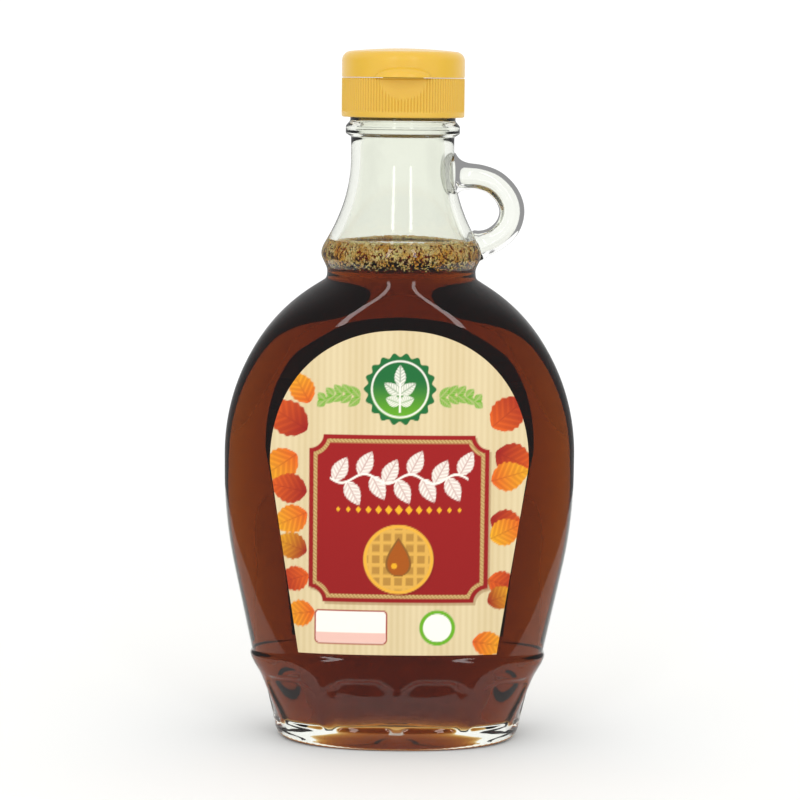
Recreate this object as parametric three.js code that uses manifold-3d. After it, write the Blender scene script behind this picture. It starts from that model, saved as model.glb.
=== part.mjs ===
// Maple syrup bottle: an oval glass flask with a small loop handle on its neck, filled with syrup
// under a layer of froth, shut by a yellow flip-top cap and dressed with a front and a back label.
// Millimetres, +Z up, origin under the middle of the foot. The front faces -Y, the handle is at +X.
import * as THREE from "three";
import { mergeVertices } from "three/addons/utils/BufferGeometryUtils.js";
import Module from "manifold-3d";

const wasm = await Module();
wasm.setup();

// Flask: half-sizes of the oval section and the heights that shape its front outline
const BODY_HALF_WIDTH = 42.6;
const BODY_HALF_DEPTH = 20;
const FOOT_POWER = 2.4; // squareness of the section at the foot; 2 is an ellipse
const OVAL_POWER = 4.8; // squareness of the section at the body
const FACE_CROWN = 0.21; // share of the depth by which the flat faces curve back to the sides
const SIDE_TAPER = 0.211; // how fast the lower sides widen with height
const SIDE_CURVE = 23; // height over which that taper eases to upright
const BELLY_LOW = 66; // the belly is upright between these two heights
const BELLY_HIGH = 70.5;
const SHOULDER_RISE = 46.65; // height of the quarter ellipse of the shoulder
const SHOULDER_FULLNESS = 4; // how late the shoulder draws in, seen from the side; 1 is in step
const WAIST_RADIUS = 18;
const WAIST_HEIGHT = 114.6;
const WAIST_FILLET = 1;
const WALL = 2.8;
const NECK_WALL = 2.2;

// Foot and fluted base
const FOOT_HALF_WIDTH = 27.2;
const BEARING_WIDTH = 2.7; // flat ring the bottle stands on
const HEEL = 3; // height of the rounded heel
const HEEL_SPREAD = 3.05;
const HEEL_TUCK = 1.2; // how far the heel rounds in at front and back
const PUNT = 2.2; // hollow under the middle of the foot
const FLOOR = 5; // inside floor, with a rounded corner
const FLOOR_CORNER = 5;
const FLUTES = 12;
const FLUTE_DEPTH = 0.9;
const FLUTE_FOOT = 4.6;
const FLUTE_FLOOR = 5.9;
const FLUTE_TOP = 16.8;
const FRONT_RISE = 0.8; // the ledge over the flutes climbs this much towards front and back
const LEDGE = 21.1;
const LEDGE_TOP = 22.3;
const LEDGE_STEP = 0.5; // the base stands out by this much at front and back

// Front outline of the base and of the neck: height, half-width and slope at each station
const BASE_STATIONS = [
  [HEEL, 30.25, 0.256],
  [15.1, 33.35, 0.3],
  [LEDGE, 36.15, 0.15],
  [LEDGE_TOP, 35.8, SIDE_TAPER],
];
const NECK_RING = 119;
const THROAT = 142;
const BEAD = 148.2;
const FINISH = 151.4;
const RIM = 159.2;
const FINISH_RADIUS = 12.7;
const NECK_STATIONS = [
  [WAIST_HEIGHT, WAIST_RADIUS, 0],
  [NECK_RING, 19.5, 0],
  [121.9, 18.5, -0.6],
  [THROAT, 12.45, 0],
  [147.1, 12.5, 0],
  [BEAD, 13.8, 0],
  [BEAD + 1.4, 13.8, 0],
  [FINISH, FINISH_RADIUS, 0],
  [RIM, FINISH_RADIUS, 0],
];

// Loop handle: centre line in the XZ plane, from the neck round to the neck ring
const HANDLE_RADIUS = 3.05;
const HANDLE_LINE = [
  [11.4, 138],
  [15.4, 137.9],
  [19, 137.6],
  [22.6, 136.2],
  [25.5, 133.2],
  [26.7, 129.5],
  [25.6, 125.6],
  [22.4, 122.6],
  [17.4, 120.7],
];

// Contents
const FROTH_TOP = 121.6;
const FROTH_LOW = 116;
const GAP = 0.3; // clearance between neighbouring pieces

// Paper labels: straight tapering sides under a broad arch
const LABEL_LOW = 23.65;
const LABEL_BELT = 69.5; // height of the widest part, where the arch begins
const LABEL_TOP = 102;
const LABEL_LOW_HALF_WIDTH = 23.9;
const LABEL_HALF_WIDTH = 31;
const LABEL_ARCH_POWER = 2.15;
const LABEL_THICKNESS = 0.25;
const BACK_LABEL_SHARE = 0.95; // width of the back label as a share of the front one

// Flip-top cap: a ribbed skirt under a smooth lid with a thumb lip
const CAP_RADIUS = 14.86;
const CAP_LOW = 152;
const CAP_BAND = 153.3; // top of the plain band under the ribs
const CAP_SEAM = 161.4;
const CAP_TOP = 168.5;
const CAP_CORNER = 2.1;
const CAP_CROWN = 0.6; // height of the slight dome of the lid
const RIBS = 120;
const RIB_DEPTH = 0.4;
const BORE_RADIUS = FINISH_RADIUS + GAP;
const DECK_LOW = RIM + GAP;
const LIP_SIZE = [6.6, 3.6, 2.7];
const LIP_BACK = 13.2; // distance of the middle of the lip from the axis
const SCOOP_SIZE = [20, 3.4, 6.5];
const SCOOP_BACK = 16.9;
const HINGE_HALF_WIDTH = 5;
const HINGE_FACE = 13.2; // inner face of the hinge strap, from the axis
const HINGE_LOW = 159.9;
const HINGE_HIGH = 164;

function smoothstep(low, high, value) {
  const t = THREE.MathUtils.clamp((value - low) / (high - low), 0, 1);
  return t * t * (3 - 2 * t);
}

// Larger of two values, with a rounded change from one to the other
function roundedMax(a, b, round) {
  return (a + b + Math.hypot(a - b, round)) / 2;
}

// Cubic curve through stations of [height, half-width, slope]
function alongStations(stations, z) {
  let i = 0;
  while (i < stations.length - 2 && z > stations[i + 1][0]) i++;
  const [z0, r0, slope0] = stations[i];
  const [z1, r1, slope1] = stations[i + 1];
  const run = z1 - z0;
  const t = THREE.MathUtils.clamp((z - z0) / run, 0, 1);
  const blend = t * t * (3 - 2 * t);
  const lift = run * t * (1 - t) * (slope0 * (1 - t) - slope1 * t);
  return r0 + (r1 - r0) * blend + lift;
}

// Half-width of the glass at a height, seen from the front
function halfWidth(z) {
  if (z < HEEL) {
    const drop = (HEEL - Math.max(z, 0)) / HEEL;
    return FOOT_HALF_WIDTH + HEEL_SPREAD * Math.sqrt(1 - drop * drop);
  }
  if (z < LEDGE_TOP) return alongStations(BASE_STATIONS, z);
  if (z < BELLY_LOW) {
    const below = BELLY_LOW - z;
    const eased = below < SIDE_CURVE ? (below * below) / (2 * SIDE_CURVE) : below - SIDE_CURVE / 2;
    return BODY_HALF_WIDTH - SIDE_TAPER * eased;
  }
  if (z < BELLY_HIGH) return BODY_HALF_WIDTH;
  const climb = Math.min(1, (z - BELLY_HIGH) / SHOULDER_RISE);
  const shoulder = BODY_HALF_WIDTH * Math.sqrt(1 - climb * climb);
  return roundedMax(shoulder, alongStations(NECK_STATIONS, z), WAIST_FILLET);
}

// Half-depth: round from the waist up, a full shoulder, upright faces down to the rounded heel
function halfDepth(z) {
  if (z > WAIST_HEIGHT) return halfWidth(z);
  if (z > BELLY_HIGH) {
    const short = (BODY_HALF_WIDTH - halfWidth(z)) / (BODY_HALF_WIDTH - WAIST_RADIUS);
    return BODY_HALF_DEPTH - (BODY_HALF_DEPTH - WAIST_RADIUS) * Math.min(1, short) ** SHOULDER_FULLNESS;
  }
  const drop = THREE.MathUtils.clamp((HEEL - z) / HEEL, 0, 1);
  const tuck = HEEL_TUCK * (1 - Math.sqrt(1 - drop * drop));
  return BODY_HALF_DEPTH + LEDGE_STEP * (1 - smoothstep(LEDGE, LEDGE_TOP, z)) - tuck;
}

// How far a section has the flat-faced form of the body: 0 at the foot and from the waist up
function bodyShare(z) {
  return smoothstep(4, 22, z) - smoothstep(96, 112, z);
}

// Squareness of the section: nearly an ellipse at the foot, flat-faced at the body, then a circle
function ovalPower(z) {
  const ends = FOOT_POWER + (2 - FOOT_POWER) * smoothstep(96, 112, z);
  return ends + (OVAL_POWER - ends) * bodyShare(z);
}

function faceCrown(z) {
  return FACE_CROWN * bodyShare(z);
}

function wallAt(z) {
  return WALL + (NECK_WALL - WALL) * smoothstep(115, 140, z);
}

// Depth of the flat flutes round the base, with a narrow pillar between two flutes
function fluteDepth(angle, z) {
  const pitch = (2 * Math.PI) / FLUTES;
  const fromMiddle = Math.abs((((angle % pitch) + pitch) % pitch) / pitch - 0.5) * 2;
  const across = 1 - smoothstep(0.6, 1, fromMiddle);
  const upright = smoothstep(FLUTE_FOOT, FLUTE_FLOOR, z) - smoothstep(FLUTE_TOP - 1.2, FLUTE_TOP, z);
  return FLUTE_DEPTH * across * upright;
}

function frontRise(angle, z) {
  const reach = smoothstep(6, 15, z) - smoothstep(24, 48, z);
  return FRONT_RISE * Math.sin(angle) ** 2 * reach;
}

// Solid of revolution about +Z from [radius, height] points that start and end on the axis
function spin(profile, segments) {
  const points = profile.map(([radius, z]) => new THREE.Vector2(radius, z));
  return new THREE.LatheGeometry(points, segments).rotateX(Math.PI / 2);
}

// Press a spun solid into the oval of the flask, set in from the outer surface by insetAt(height)
function pressOval(geometry, insetAt, fluted) {
  const position = geometry.attributes.position;
  for (let i = 0; i < position.count; i++) {
    const angle = Math.atan2(position.getY(i), position.getX(i));
    const z = position.getZ(i);
    const width = halfWidth(z) - insetAt(z);
    const share = Math.hypot(position.getX(i), position.getY(i)) / width;
    const onSurface = fluted && share > 0.999;
    const cut = onSurface ? fluteDepth(angle, z) : 0;
    const power = ovalPower(z);
    const sum = Math.abs(Math.cos(angle)) ** power + Math.abs(Math.sin(angle)) ** power;
    const across = Math.cos(angle) / sum ** (1 / power);
    const deep = (Math.sin(angle) / sum ** (1 / power)) * (1 - faceCrown(z) * across ** 2);
    const depth = halfDepth(z) - insetAt(z);
    const rise = onSurface ? frontRise(angle, z) : 0;
    position.setXYZ(i, share * (width - cut) * across, share * (depth - cut) * deep, z + rise);
  }
  return geometry;
}

// Closed solid for cutting and joining, from any closed geometry
function solidOf(geometry) {
  geometry.deleteAttribute("normal");
  geometry.deleteAttribute("uv");
  const merged = mergeVertices(geometry, 1e-4);
  const mesh = new wasm.Mesh({
    numProp: 3,
    vertProperties: new Float32Array(merged.attributes.position.array),
    triVerts: new Uint32Array(merged.index.array),
  });
  return new wasm.Manifold(mesh);
}

function geometryOf(solid) {
  const mesh = solid.getMesh();
  const geometry = new THREE.BufferGeometry();
  geometry.setAttribute("position", new THREE.BufferAttribute(mesh.vertProperties, 3));
  geometry.setIndex(new THREE.BufferAttribute(mesh.triVerts, 1));
  geometry.computeVertexNormals();
  return geometry;
}

// Evenly spaced heights from one to another, both included
function heights(low, high, steps) {
  return Array.from({ length: steps + 1 }, (_, i) => low + ((high - low) * i) / steps);
}

function block(size, centre) {
  return solidOf(new THREE.BoxGeometry(...size).translate(...centre));
}

function ellipsoid(size, centre) {
  const ball = new THREE.SphereGeometry(1, 24, 12).rotateX(Math.PI / 2);
  return solidOf(ball.scale(...size).translate(...centre));
}

// Outer form of the flask from the hollow under the foot to the rim, closed on top
function flaskForm() {
  const shoulder = heights(0, 64, 8).map(
    (degrees) => BELLY_HIGH + SHOULDER_RISE * Math.sin(THREE.MathUtils.degToRad(degrees)),
  );
  const rows = [
    0,
    0.35,
    1.2,
    HEEL,
    FLUTE_FOOT,
    FLUTE_FLOOR,
    ...heights(9.5, FLUTE_TOP - 1.2, 2),
    FLUTE_TOP,
    19,
    LEDGE,
    LEDGE_TOP,
    ...heights(30, 58, 4),
    BELLY_LOW,
    ...shoulder,
    113.6,
    WAIST_HEIGHT,
    ...heights(116, 122, 4),
    ...heights(126, THROAT, 4),
    147.1,
    147.6,
    BEAD,
    BEAD + 1.4,
    FINISH,
    RIM,
  ];
  const bearing = FOOT_HALF_WIDTH - BEARING_WIDTH;
  const under = [
    [0, PUNT],
    [bearing * 0.6, PUNT * 0.7],
    [bearing, 0],
  ];
  const side = rows.map((z) => [halfWidth(z), z]);
  return pressOval(spin([...under, ...side, [0, RIM]], 5 * FLUTES), () => 0, true);
}

// What lies inside the glass between two heights, drawn in from the wall by a clearance
function insideForm(low, high, clearance, rows) {
  const insetAt = (z) => wallAt(z) + clearance;
  const floor = FLOOR + clearance;
  const profile = [[0, low]];
  for (const z of rows) {
    const up = THREE.MathUtils.clamp((z - floor) / FLOOR_CORNER, 0, 1);
    const corner = FLOOR_CORNER * (1 - Math.sqrt(1 - (1 - up) ** 2));
    profile.push([halfWidth(z) - insetAt(z) - corner, z]);
  }
  profile.push([0, high]);
  return pressOval(spin(profile, 40), insetAt, false);
}

function handle() {
  const line = new THREE.CatmullRomCurve3(HANDLE_LINE.map(([x, z]) => new THREE.Vector3(x, 0, z)));
  const section = new THREE.Shape().absarc(0, 0, HANDLE_RADIUS, 0, 2 * Math.PI);
  return solidOf(
    new THREE.ExtrudeGeometry(section, { steps: 20, curveSegments: 6, extrudePath: line }),
  );
}

const CAVITY_ROWS = [
  FLOOR,
  FLOOR + 0.7,
  FLOOR + 2.2,
  FLOOR + FLOOR_CORNER,
  LEDGE,
  44,
  58,
  BELLY_HIGH,
  82,
  92,
  100,
  106,
  110,
  WAIST_HEIGHT,
];

function bottle() {
  const neckRows = [NECK_RING, 122, 126, 131, 136, THROAT, RIM, RIM + 2];
  const cavity = solidOf(insideForm(FLOOR, RIM + 2, 0, [...CAVITY_ROWS, ...neckRows]));
  return solidOf(flaskForm()).add(handle()).subtract(cavity);
}

function syrup() {
  const rows = CAVITY_ROWS.map((z) => (z < FLOOR + FLOOR_CORNER ? z + GAP : z));
  const top = FROTH_LOW - GAP;
  return insideForm(FLOOR + GAP, top, GAP, [...rows, top]);
}

function froth() {
  const rows = heights(FROTH_LOW, FROTH_TOP, 4);
  return insideForm(FROTH_LOW, FROTH_TOP, GAP, rows);
}

function labelHalfWidth(z) {
  if (z < LABEL_BELT) {
    const up = (z - LABEL_LOW) / (LABEL_BELT - LABEL_LOW);
    return LABEL_LOW_HALF_WIDTH + (LABEL_HALF_WIDTH - LABEL_LOW_HALF_WIDTH) * up;
  }
  const climb = (z - LABEL_BELT) / (LABEL_TOP - LABEL_BELT);
  return LABEL_HALF_WIDTH * (1 - climb ** LABEL_ARCH_POWER) ** (1 / LABEL_ARCH_POWER);
}

// Thin sheet bent round the front of the flask; its rows close up towards the top of the arch
function label(widthShare) {
  const sheet = new THREE.BoxGeometry(2, 1, 1, 10, 1, 12);
  const position = sheet.attributes.position;
  for (let i = 0; i < position.count; i++) {
    const up = Math.sin(((position.getZ(i) + 0.5) * Math.PI * 0.98) / 2);
    const z = LABEL_LOW + (LABEL_TOP - LABEL_LOW) * up;
    const off = GAP + LABEL_THICKNESS * (0.5 - position.getY(i));
    const x = position.getX(i) * widthShare * labelHalfWidth(z);
    const power = ovalPower(z);
    const share = Math.abs(x) / (halfWidth(z) + off);
    const crowned = 1 - faceCrown(z) * share ** 2;
    const y = -(halfDepth(z) + off) * (1 - share ** power) ** (1 / power) * crowned;
    position.setXYZ(i, x, y, z);
  }
  return sheet;
}

function capSkirt() {
  const outline = new THREE.Shape();
  for (let i = 0; i < 2 * RIBS; i++) {
    const angle = (Math.PI * (i + 0.5)) / RIBS;
    const radius = CAP_RADIUS - (i % 2) * RIB_DEPTH;
    const x = radius * Math.cos(angle);
    const y = radius * Math.sin(angle);
    if (i === 0) outline.moveTo(x, y);
    else outline.lineTo(x, y);
  }
  const ribbed = new THREE.ExtrudeGeometry(outline, {
    depth: CAP_SEAM - CAP_BAND,
    bevelEnabled: false,
  }).translate(0, 0, CAP_BAND);
  const band = spin(
    [
      [0, CAP_LOW],
      [CAP_RADIUS - 0.3, CAP_LOW],
      [CAP_RADIUS, CAP_LOW + 0.3],
      [CAP_RADIUS, CAP_BAND],
      [0, CAP_BAND],
    ],
    60,
  );
  const bore = spin(
    [
      [0, CAP_LOW - 1],
      [BORE_RADIUS, CAP_LOW - 1],
      [BORE_RADIUS, DECK_LOW],
      [0, DECK_LOW],
    ],
    60,
  );
  const scoop = ellipsoid(SCOOP_SIZE, [0, -SCOOP_BACK, CAP_SEAM]);
  const pocket = block(
    [2 * (HINGE_HALF_WIDTH + GAP), 4, 4],
    [0, HINGE_FACE - GAP + 2, HINGE_LOW - GAP + 2],
  );
  return solidOf(ribbed).add(solidOf(band)).subtract(solidOf(bore)).subtract(scoop).subtract(pocket);
}

function capLid() {
  const low = CAP_SEAM + GAP;
  const edge = CAP_TOP - CAP_CROWN - CAP_CORNER;
  const corner = heights(0, 90, 4).map((degrees) => {
    const turn = THREE.MathUtils.degToRad(degrees);
    const radius = CAP_RADIUS - CAP_CORNER * (1 - Math.cos(turn));
    return [radius, edge + CAP_CORNER * Math.sin(turn)];
  });
  const profile = [
    [0, low],
    [CAP_RADIUS, low],
    ...corner,
    [CAP_RADIUS * 0.5, CAP_TOP - CAP_CROWN * 0.3],
    [0, CAP_TOP],
  ];
  const room = 2 * CAP_RADIUS;
  const lip = ellipsoid(LIP_SIZE, [0, -LIP_BACK, low]).subtract(
    block([room, room, room], [0, -LIP_BACK, low - room / 2]),
  );
  const strap = block(
    [2 * HINGE_HALF_WIDTH, 4, HINGE_HIGH - HINGE_LOW],
    [0, HINGE_FACE + 2, (HINGE_LOW + HINGE_HIGH) / 2],
  );
  const round = spin(
    [
      [0, CAP_LOW],
      [CAP_RADIUS, CAP_LOW],
      [CAP_RADIUS, CAP_TOP],
      [0, CAP_TOP],
    ],
    60,
  );
  return solidOf(spin(profile, 48)).add(lip).add(strap.intersect(solidOf(round)));
}

function piece(name, geometry, color, roughness, opacity = 1) {
  const material = new THREE.MeshStandardMaterial({
    color,
    roughness,
    metalness: 0,
    opacity,
    transparent: opacity < 1,
  });
  const mesh = new THREE.Mesh(geometry, material);
  mesh.name = name;
  return mesh;
}

const root = new THREE.Group();
root.name = "maple_syrup_bottle";
root.add(
  piece("bottle", geometryOf(bottle()), "#dfe2d6", 0.05, 0.35),
  piece("syrup", syrup(), "#6e3222", 0.1),
  piece("froth", froth(), "#c9974a", 0.3),
  piece("label_front", label(1), "#ead9b4", 0.6),
  piece("label_back", label(BACK_LABEL_SHARE).rotateZ(Math.PI), "#ead9b4", 0.6),
  piece("cap_skirt", geometryOf(capSkirt()), "#e0b53f", 0.35),
  piece("cap_lid", geometryOf(capLid()), "#e2b83e", 0.3),
);

export default root;
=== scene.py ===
# %% [markdown]
# # A maple syrup bottle
# The bottle is a flat-faced glass flask with a loop handle on its neck. It is full of dark amber
# syrup with a ring of froth, wears a paper label on each face and is shut by a yellow flip-top cap.
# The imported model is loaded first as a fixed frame. Every piece below is a numpy surface that is
# worked out in millimetres in that frame and stands for one of its solids.

# %% Load the frame
import math

import bpy
import numpy as np
from mathutils import Matrix, Vector


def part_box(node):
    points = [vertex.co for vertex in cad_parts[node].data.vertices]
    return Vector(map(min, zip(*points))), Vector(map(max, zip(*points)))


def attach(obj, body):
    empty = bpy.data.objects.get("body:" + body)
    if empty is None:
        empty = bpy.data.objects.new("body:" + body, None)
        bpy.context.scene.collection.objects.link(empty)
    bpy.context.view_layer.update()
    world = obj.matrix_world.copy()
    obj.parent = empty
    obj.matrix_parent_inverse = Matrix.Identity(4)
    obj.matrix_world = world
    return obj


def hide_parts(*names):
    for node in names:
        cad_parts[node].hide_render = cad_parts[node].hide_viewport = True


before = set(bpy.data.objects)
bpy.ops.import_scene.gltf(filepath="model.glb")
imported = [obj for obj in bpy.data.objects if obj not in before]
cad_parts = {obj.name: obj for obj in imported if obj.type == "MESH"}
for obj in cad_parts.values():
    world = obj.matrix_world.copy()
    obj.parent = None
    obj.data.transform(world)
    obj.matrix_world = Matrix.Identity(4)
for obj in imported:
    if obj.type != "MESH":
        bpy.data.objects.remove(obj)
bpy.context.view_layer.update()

# %% [markdown]
# ## Small tools
# A piece is a stack of closed rings, each a row of points round the bottle. The first and the last
# ring shrink to one point, so the surface has no open edge. Colours are written as the sRGB hex
# values seen on a screen and turned to the linear values that a shader adds up.

# %% Rings to mesh, hex to linear, nodes
MM = 0.001


def around(columns):
    """Even angles once round the axis."""
    return np.arange(columns) * 2 * np.pi / columns


def turned(radius, angle, z):
    """Points at a radius, an angle and a height."""
    return np.stack([radius * np.cos(angle), radius * np.sin(angle), z], -1)


def band_quads(rows, columns):
    """Quads between neighbouring closed loops of points, which are counted row by row."""
    index = np.arange(rows * columns).reshape(rows, columns)
    beside = np.roll(index, -1, axis=1)
    return np.stack([index[:-1], beside[:-1], beside[1:], index[1:]], -1).reshape(-1, 4)


def ring_faces(rows, columns):
    """Quads between neighbouring rings that close round the bottle, then a fan at each pole.

    Vertex 0 is the first pole, the rings follow row by row, and the last vertex is the other pole.
    """
    step = np.arange(columns)
    following = (step + 1) % columns
    top = 1 + (rows - 1) * columns
    quads = 1 + band_quads(rows, columns)
    low_fan = np.stack([np.zeros_like(step), 1 + following, 1 + step], -1)
    high_fan = np.stack([np.full_like(step, top + columns), top + step, top + following], -1)
    return quads.tolist() + low_fan.tolist() + high_fan.tolist()


def new_object(name, data):
    """Object in the scene for a mesh, a light or a camera."""
    thing = bpy.data.objects.new(name, data)
    bpy.context.scene.collection.objects.link(thing)
    return thing


def new_piece(name, points, faces, smooth=True):
    """Mesh object at the origin from points in millimetres."""
    mesh = bpy.data.meshes.new(name)
    mesh.from_pydata((points * MM).tolist(), [], faces)
    mesh.polygons.foreach_set("use_smooth", np.full(len(mesh.polygons), smooth))
    mesh.update()
    return new_object(name, mesh)


def ring_piece(name, rings, first_pole, last_pole):
    """Closed piece from rings[row, column, xyz] between two poles."""
    rows, columns, _ = rings.shape
    points = np.vstack([[first_pole], rings.reshape(-1, 3), [last_pole]])
    piece = new_piece(name, points, ring_faces(rows, columns))
    print(name, len(piece.data.vertices), "vertices")
    return piece


def linear(hex_colour):
    """sRGB hex to linear: c/12.92 in the shadows, ((c + 0.055)/1.055)^2.4 above them."""
    srgb = np.array([int(hex_colour[i:i + 2], 16) for i in (1, 3, 5)]) / 255.0
    value = np.where(srgb <= 0.04045, srgb / 12.92, ((srgb + 0.055) / 1.055) ** 2.4)
    return (*value.tolist(), 1.0)


def add_node(tree, kind, settings=None, inputs=None):
    """One shader node with its settings, its values and the links that come into it."""
    node = tree.nodes.new(kind)
    for name, value in (settings or {}).items():
        setattr(node, name, value)
    for name, value in (inputs or {}).items():
        if isinstance(value, bpy.types.NodeSocket):
            tree.links.new(value, node.inputs[name])
        else:
            node.inputs[name].default_value = value
    return node


def smoothstep(low, high, value):
    """Eased change from 0 at low to 1 at high: t*t*(3 - 2t)."""
    t = np.clip((value - low) / (high - low), 0.0, 1.0)
    return t * t * (3.0 - 2.0 * t)


def fade(span, value):
    """Eased up from 0 to 1 between the first two limits of a span, and down between the last two."""
    return smoothstep(span[0], span[1], value) - smoothstep(span[2], span[3], value)


# %% [markdown]
# ## The form of the glass
# Seen from the front the flask has straight sides that widen upwards, an elliptical shoulder, a
# waist with a rounded ring over it and a flaring neck. Seen from above it is nearly an ellipse at
# the foot, a pillow with flat faces at the body and a circle at the neck. So two functions of height,
# half-width and half-depth, and a squareness and a crown give every surface in and on the bottle.

# %% Outline functions
body_low, body_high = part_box("bottle")
BODY_HALF_WIDTH = (body_high.x - body_low.x) / 2 / MM
LEDGE_STEP = 0.5
BODY_HALF_DEPTH = (body_high.y - body_low.y) / 2 / MM - LEDGE_STEP
RIM = body_high.z / MM
FOOT_POWER = 2.4
BODY_POWER = 4.8
FACE_CROWN = 0.21
FLAT_SPAN = (4.0, 22.0, 96.0, 112.0)
SIDE_TAPER = 0.211
SIDE_CURVE = 23.0
BELLY_LOW = 66.0
BELLY_HIGH = 70.5
SHOULDER_RISE = 46.65
SHOULDER_FULLNESS = 4.0
WAIST_RADIUS = 18.0
WAIST_HEIGHT = 114.6
WAIST_FILLET = 1.0
WALL = 2.8
NECK_WALL = 2.2
NECK_WALL_LOW = 115.0
NECK_WALL_HIGH = 140.0
FOOT_HALF_WIDTH = 27.2
HEEL = 3.0
HEEL_SPREAD = 3.05
HEEL_TUCK = 1.2
LEDGE = 21.1
LEDGE_TOP = 22.3
THROAT = 142.0
BEAD = 148.2
FINISH = 151.4
FINISH_RADIUS = 12.7
BASE_STATIONS = np.array([
    (HEEL, 30.25, 0.256),
    (15.1, 33.35, 0.3),
    (LEDGE, 36.15, 0.15),
    (LEDGE_TOP, 35.8, SIDE_TAPER),
])
NECK_STATIONS = np.array([
    (WAIST_HEIGHT, WAIST_RADIUS, 0.0),
    (119.0, 19.5, 0.0),
    (121.9, 18.5, -0.6),
    (THROAT, 12.45, 0.0),
    (147.1, 12.5, 0.0),
    (BEAD, 13.8, 0.0),
    (BEAD + 1.4, 13.8, 0.0),
    (FINISH, FINISH_RADIUS, 0.0),
    (RIM, FINISH_RADIUS, 0.0),
])


def along_stations(stations, z):
    """Cubic curve through rows of height, half-width and slope, joined without a kink."""
    height, width, slope = stations.T
    i = np.clip(np.searchsorted(height, z) - 1, 0, len(height) - 2)
    run = height[i + 1] - height[i]
    t = np.clip((z - height[i]) / run, 0.0, 1.0)
    lift = run * t * (1 - t) * (slope[i] * (1 - t) - slope[i + 1] * t)
    return width[i] + (width[i + 1] - width[i]) * t * t * (3 - 2 * t) + lift


def quarter(t):
    """Quarter circle: sqrt(1 - t*t), with t held between 0 and 1."""
    return np.sqrt(1 - np.clip(t, 0.0, 1.0) ** 2)


def half_width(z):
    """Half-width at a height: heel arc, base curve, tapering side, shoulder ellipse, neck curve."""
    heel = FOOT_HALF_WIDTH + HEEL_SPREAD * quarter((HEEL - z) / HEEL)
    below = BELLY_LOW - z
    eased = np.where(below < SIDE_CURVE, below * below / (2 * SIDE_CURVE), below - SIDE_CURVE / 2)
    side = BODY_HALF_WIDTH - SIDE_TAPER * eased
    shoulder = BODY_HALF_WIDTH * quarter((z - BELLY_HIGH) / SHOULDER_RISE)
    neck = along_stations(NECK_STATIONS, z)
    upper = (shoulder + neck + np.hypot(shoulder - neck, WAIST_FILLET)) / 2
    ranges = [z < HEEL, z < LEDGE_TOP, z < BELLY_LOW, z < BELLY_HIGH]
    values = [heel, along_stations(BASE_STATIONS, z), side, np.full_like(z, BODY_HALF_WIDTH)]
    return np.select(ranges, values, upper)


def half_depth(z):
    """Half-depth at a height: upright from the heel to the shoulder, the half-width above the waist.

    On the shoulder the share by which the width falls short of the belly is raised to a power, so
    the front face stays upright for longer than the outline. The base stands out by a small step.
    """
    width = half_width(z)
    short = np.clip((BODY_HALF_WIDTH - width) / (BODY_HALF_WIDTH - WAIST_RADIUS), 0.0, 1.0)
    shoulder = BODY_HALF_DEPTH - (BODY_HALF_DEPTH - WAIST_RADIUS) * short ** SHOULDER_FULLNESS
    tuck = HEEL_TUCK * (1 - quarter((HEEL - z) / HEEL))
    upright = BODY_HALF_DEPTH + LEDGE_STEP * (1 - smoothstep(LEDGE, LEDGE_TOP, z)) - tuck
    return np.select([z > WAIST_HEIGHT, z > BELLY_HIGH], [width, shoulder], upright)


def body_share(z):
    """How far a section has the flat-faced form of the body: 0 at the foot and from the waist up."""
    return fade(FLAT_SPAN, z)


def squareness(z):
    """Power of the section: nearly an ellipse at the foot, flat-faced at the body, then a circle."""
    ends = FOOT_POWER + (2 - FOOT_POWER) * smoothstep(*FLAT_SPAN[2:], z)
    return ends + (BODY_POWER - ends) * body_share(z)


def face_crown(z):
    """Share of the depth by which the flat faces curve back towards the sides."""
    return FACE_CROWN * body_share(z)


def wall_at(z):
    return WALL + (NECK_WALL - WALL) * smoothstep(NECK_WALL_LOW, NECK_WALL_HIGH, z)


def section(z, angle, inset):
    """Point on the section: a superellipse in polar form, |cos|^p + |sin|^p to the power -1/p.

    Its front and back are then curved by the crown, which grows with the square of the width.
    """
    power = squareness(z)
    reach = (np.abs(np.cos(angle)) ** power + np.abs(np.sin(angle)) ** power) ** (-1 / power)
    across = reach * np.cos(angle)
    deep = reach * np.sin(angle) * (1 - face_crown(z) * across ** 2)
    return (half_width(z) - inset) * across, (half_depth(z) - inset) * deep


print("belly", round(2 * BODY_HALF_WIDTH, 1), "by", round(2 * BODY_HALF_DEPTH, 1), "mm")

# %% [markdown]
# ## The outer glass
# The base has twelve flat flutes with pillars between them, a ledge that climbs towards both faces
# and a ring of small dots where the bottle stands. These could be cut with booleans, but here they
# are only terms that are taken off the section or added to the height, so one grid of rings
# carries them all without a seam.

# %% Outer surface of the flask
FLUTES = 12
FLUTE_DEPTH = 0.5
FLUTE_FOOT = 4.5
FLUTE_FLOOR = 5.7
FLUTE_TOP = 16.8
FLUTE_ARCH = 2.2
FRONT_RISE = 0.8
RISE_SPAN = (6.0, 15.0, 24.0, 48.0)
BEARING_WIDTH = 2.7
PUNT = 2.2
DOTS = 100
DOT_HEIGHT = 0.14
DOT_SPAN = (0.05, 0.4, 1.0, 1.5)
RIM_ROUND = 0.6
COLUMNS = 300


def flute_depth(angle, z):
    """Depth of the flutes: full on the panel, eased to nothing at the pillars and round the arch."""
    pitch = 2 * np.pi / FLUTES
    from_middle = np.abs((angle % pitch) / pitch - 0.5) * 2
    across = 1 - smoothstep(0.66, 0.86, from_middle)
    arch = FLUTE_TOP - FLUTE_ARCH * smoothstep(0.25, 0.85, from_middle) ** 2
    return FLUTE_DEPTH * across * fade((FLUTE_FOOT, FLUTE_FLOOR, arch - 1.0, arch), z)


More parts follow.
